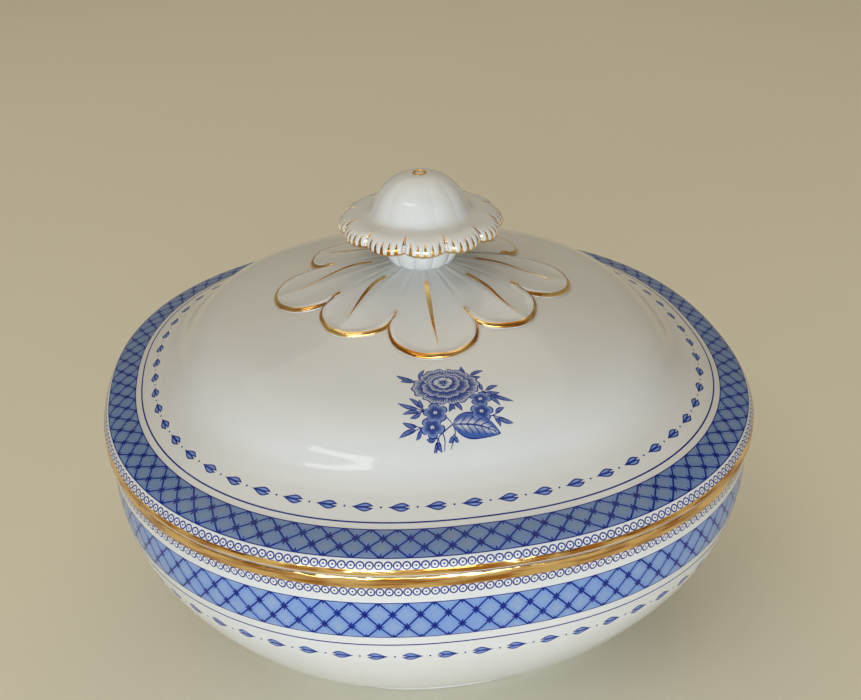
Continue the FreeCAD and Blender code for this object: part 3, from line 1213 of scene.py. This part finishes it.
def petal_print(name, dark_to, pale, outline_width):
    """A petal: dark at its foot, hatched, and pale towards a scalloped edge with an outline."""
    material, tree, shader = new_material(name)
    along, across = map_coordinates(tree, "pattern")
    hatch = abs((across * 6.0).off_nearest()) * 2.0
    reach_of_ink = hatch.ramp(0.0, 1.0, dark_to + 0.14, dark_to - 0.10)
    depth = (along - reach_of_ink).ramp(-0.22, 0.16, 1.0, 0.0)
    colour = blend_colour(tree, depth, pale, DEEP_BLUE)
    softness = along.ramp(dark_to - 0.3, dark_to + 0.3, 0.55, 0.0)
    softened = blend_colour(tree, softness, colour, MIDDLE_BLUE)
    outline = along.ramp(1 - outline_width * 1.3, 1 - outline_width * 0.8, 0.0, 1.0)
    outline = outline.most(abs(across).ramp(1 - outline_width, 1 - outline_width * 0.5, 0.0, 1.0))
    print_under_glaze(tree, shader, blend_colour(tree, outline, softened, ink_colour(tree)))
    return material


flower_inks = [
    cobalt_line,
    leaf_print("sprig_leaf", 4.0, MIDDLE_BLUE, PALE_BLUE, 0.34),
    leaf_print("broad_leaf", 7.0, BROAD_LEAF_BLUE, PAPER_BLUE, 0.08),
    petal_print("peony_petal", 0.80, PAPER_BLUE, 0.06),
    petal_print("peony_heart", 0.78, PAPER_BLUE, 0.06),
    petal_print("peony_bud", 0.12, BUD_BLUE, 0.10),
    petal_print("blossom_petal", 0.62, PALE_BLUE, 0.11),
    petal_print("peony_curl", 0.36, PAPER_BLUE, 0.13),
]
LINE, SPRIG, BROAD, PETAL, HEART, BUD, BLOSSOM, CURL = range(8)
print("%d inks for the flowers" % len(flower_inks))

# %% Drawing tools
SPRAY_SHIFT = (-0.9, -0.5)
PRINT_BACK = 0.3 * MM


class Spray:
    """Draws printed shapes on the dome, in millimetres from the axis, turned by an angle."""

    def __init__(self, turned):
        self.bm = bmesh.new()
        self.turned = turned

    def point(self, x, y, lift, back):
        """The place on the dome of a point of the drawing."""
        x, y = x + SPRAY_SHIFT[0], y + SPRAY_SHIFT[1]
        cosine, sine = math.cos(self.turned), math.sin(self.turned)
        turned_x = (x * cosine - y * sine) * MM
        turned_y = (x * sine + y * cosine) * MM
        return dome_point(turned_x, turned_y, -PRINT_BACK if back else lift * MM)

    def stroke(self, points, width=0.42, lift=0.05):
        """A thin stalk through the points."""
        path = Path(points)

        def place(along, across, back):
            half = width / 2 * (1 - 0.45 * along)
            centre = path.at(along) + path.leftwards(along) * (across * half)
            return self.point(centre[0], centre[1], lift, back)

        add_patch(self.bm, max(int(path.length / 1.2), 3), 1, place, LINE)

    def leaf(self, start, end, half, bend=0.0, ink=SPRIG, lift=0.04, fullness=0.8):
        """A pointed leaf from its stalk to its tip."""
        start, end = Vector(start), Vector(end)
        step = end - start
        left = Vector((-step[1], step[0])).normalized()
        path = Path([start, (start + end) / 2 + left * bend, end])

        def place(along, across, back):
            width = half * math.sin(math.pi * min(along ** fullness, 1.0)) ** 0.85 + 0.03
            centre = path.at(along) + path.leftwards(along) * (across * width)
            return self.point(centre[0], centre[1], lift, back)

        columns, rows = (24, 8) if ink == BROAD else (10, 4)
        add_patch(self.bm, columns, rows, place, ink)

    def petal(
        self, centre, direction, inner, outer, spread, ink, lift,
        squash=0.72, scallops=3, foot=0.55, rounding=0.16,
    ):
        """A fan-shaped petal with a scalloped edge. Direction and spread are in degrees."""
        middle, half = math.radians(direction), math.radians(spread) / 2

        def place(along, across, back):
            angle = middle + across * half * (foot + (1 - foot) * math.sqrt(along))
            wave = 1 + 0.055 * math.cos(scallops * math.pi * across) - rounding * across ** 4
            radius = inner + (outer - inner) * along * wave
            x = centre[0] + radius * math.cos(angle)
            y = centre[1] + radius * math.sin(angle) * squash
            return self.point(x, y, lift, back)

        add_patch(self.bm, 6, 14, place, ink)

    def ring_of_petals(self, centre, count, first, inner, outer, ink, lift, overlap, *shape):
        """Petals set evenly round a centre, each a little longer or shorter than the last."""
        spread = 360.0 / count * overlap
        for index in range(count):
            turn = first + index * 360.0 / count
            reached = outer * (1 + 0.05 * math.sin(index * 2.1))
            over = lift + 0.004 * (index % 2)
            self.petal(centre, turn, inner, reached, spread, ink, over, *shape)

    def blossom(self, centre, size, first):
        """A small flower of five petals with a pale eye."""
        self.ring_of_petals(centre, 5, first, 0.2, size, BLOSSOM, 0.055, 1.10, 0.80, 1, 0.9, 0.42)
        self.petal(centre, 90.0, 0.0, 0.75, 359.0, BUD, 0.075, 0.9, 0, 1.0)


print("drawing tools ready")

# %% [markdown]
# ## Composing the spray
# The peony sits highest, nearest the rosette. The blossoms lean on it at both sides, the large leaf
# sweeps out below, and sprigs fill the outline so that it reads as a loose oval. The same spray is
# laid on the far side of the lid, so that it can be seen from either side of a table.

# %% Spray
SPRIGS = [
    ((-13.0, -73.5), [(-20.5, -68.5), (-19.5, -72.0), (-9.5, -67.5)]),
    ((5.5, -73.5), [(12.5, -71.0), (11.0, -74.0), (4.5, -67.8)]),
    ((10.0, -81.5), [(16.5, -79.0), (16.5, -82.5), (10.5, -77.8), (20.8, -86.5), (15.5, -88.0)]),
    ((12.0, -91.5), [(16.8, -88.8), (19.0, -94.5), (14.0, -95.5)]),
    ((-13.0, -87.0), [(-22.0, -82.0), (-17.5, -80.5), (-13.8, -81.8), (-21.0, -87.0), (-18.5, -89.0)]),
    ((-15.0, -93.0), [(-21.5, -90.0), (-23.5, -94.8), (-17.5, -96.5)]),
    ((-2.0, -84.0), [(-4.0, -88.6), (-1.5, -88.0), (1.0, -88.8)]),
    ((-9.5, -97.0), [(-13.8, -96.8), (-8.8, -101.0), (-11.8, -100.8)]),
    ((-3.5, -96.5), [(-6.0, -98.5), (-2.2, -98.8)]),
]
BLOSSOMS = [
    ((-9.0, -88.3), 4.6, 20.0), ((-11.0, -93.4), 4.4, 50.0),
    ((8.6, -84.6), 3.9, 70.0), ((8.0, -89.6), 4.3, 5.0),
]
STALKS = [
    [(-13.0, -87.0), (-8.5, -86.5), (-4.0, -83.0)],
    [(-15.0, -93.0), (-11.0, -94.5), (-7.0, -93.5)],
    [(10.0, -81.5), (13.0, -83.0), (16.0, -84.5)],
    [(12.0, -91.5), (8.0, -92.0), (4.0, -91.0)],
    [(-6.0, -89.5), (-4.5, -91.5), (-3.4, -93.2)],
    [(-3.4, -93.2), (-6.5, -95.0), (-9.5, -97.0), (-10.8, -101.0)],
    [(-3.4, -93.2), (-3.0, -96.0), (-5.5, -100.5)],
    [(-7.5, -95.8), (-7.2, -98.0), (-8.0, -100.8)],
]


def add_sprigs(spray):
    """The small leaves, each on a short stalk, bent to one side and then the other."""
    for base, tips in SPRIGS:
        for index, tip in enumerate(tips):
            base_vector, tip_vector = Vector(base), Vector(tip)
            half = 0.85 if (tip_vector - base_vector).length > 5 else 0.72
            spray.stroke([base, base_vector.lerp(tip_vector, 0.5)], 0.36)
            spray.leaf(base_vector.lerp(tip_vector, 0.22), tip, half, 0.4 * (-1) ** index)


def make_spray(name, turned):
    """The whole spray, as one printed piece."""
    spray = Spray(turned)
    add_sprigs(spray)
    for points in STALKS:
        spray.stroke(points)
    spray.leaf((-3.4, -93.2), (13.6, -97.4), 4.5, 1.0, BROAD, 0.06, 0.72)
    peony = (-3.0, -77.0)
    spray.ring_of_petals(peony, 6, -64.0, 4.0, 12.2, PETAL, 0.06, 1.12, 0.74, 3, 0.55, 0.30)
    spray.ring_of_petals((-3.0, -76.4), 5, -90.0, 2.2, 9.0, PETAL, 0.08, 1.15, 0.72, 3, 0.55, 0.30)
    spray.ring_of_petals((-3.4, -75.6), 4, 36.0, 0.8, 6.4, HEART, 0.10, 1.20, 0.72, 3, 0.55, 0.26)
    spray.ring_of_petals((-3.7, -75.2), 5, 90.0, 0.3, 3.9, CURL, 0.12, 1.25, 0.72, 3)
    spray.petal((-3.7, -76.2), -90.0, 0.3, 2.9, 150.0, CURL, 0.13, 0.72, 3)
    for centre, size, first in BLOSSOMS:
        spray.blossom(centre, size, first)
    finish_piece(name, spray.bm, LID_BODY, flower_inks)


make_spray("flower_spray_front", 0.0)
make_spray("flower_spray_back", math.pi)

# %% [markdown]
# ## The floor and the light
# A pale matt table and soft light: a large cool window in front, which the wet-looking glaze
# mirrors, a small high window at the left, and a warm ceiling above. The room itself is dim and
# warm, which keeps the shaded side of the white from going black.

# %% Stage
TABLE_COLOUR = (0.83, 0.785, 0.64, 1.0)
ROOM_COLOUR = (0.62, 0.56, 0.46, 1.0)
ROOM_STRENGTH = 0.40


def make_table():
    """A wide matt sheet under the dish, which is no part of it."""
    bm = bmesh.new()
    bmesh.ops.create_grid(bm, x_segments=1, y_segments=1, size=3.0)
    mesh = bpy.data.meshes.new("table")
    bm.to_mesh(mesh)
    bm.free()
    material, tree, shader = new_material("pale_table")
    tone = noise(tree, 3.0, 2.0)
    lighter = tuple(min(value * 1.06, 1.0) for value in TABLE_COLOUR)
    tree.links.new(blend_colour(tree, tone, TABLE_COLOUR, lighter), shader.inputs["Base Color"])
    shader.inputs["Roughness"].default_value = 0.75
    mesh.materials.append(material)
    table = bpy.data.objects.new("table", mesh)
    bpy.context.scene.collection.objects.link(table)


def soft_light(name, place, aim, size, power, colour):
    """A rectangle of light that faces the point it aims at."""
    data = bpy.data.lights.new(name, "AREA")
    data.shape = "RECTANGLE"
    data.size, data.size_y = size
    data.energy = power
    data.color = colour
    lamp = bpy.data.objects.new(name, data)
    lamp.location = place
    lamp.rotation_mode = "QUATERNION"
    lamp.rotation_quaternion = (Vector(aim) - Vector(place)).to_track_quat("-Z", "Y")
    bpy.context.scene.collection.objects.link(lamp)


make_table()
soft_light("window", (-0.35, -1.55, 0.20), (0, 0, 0.06), (1.6, 0.4), 18.5, (0.79, 0.89, 1.0))
soft_light("high_window", (-0.80, -0.80, 1.35), (0, 0, 0.12), (0.75, 0.16), 2.0, (0.95, 0.98, 1.0))
soft_light("ceiling", (-0.1, 0.5, 2.4), (0, 0, 0.1), (3.0, 3.0), 20.5, (1.0, 0.90, 0.70))
world = bpy.data.worlds.new("room")
world.use_nodes = True
room = world.node_tree.nodes["Background"]
room.inputs["Color"].default_value = ROOM_COLOUR
room.inputs["Strength"].default_value = ROOM_STRENGTH
bpy.context.scene.world = world
bpy.context.scene.view_settings.view_transform = "Standard"
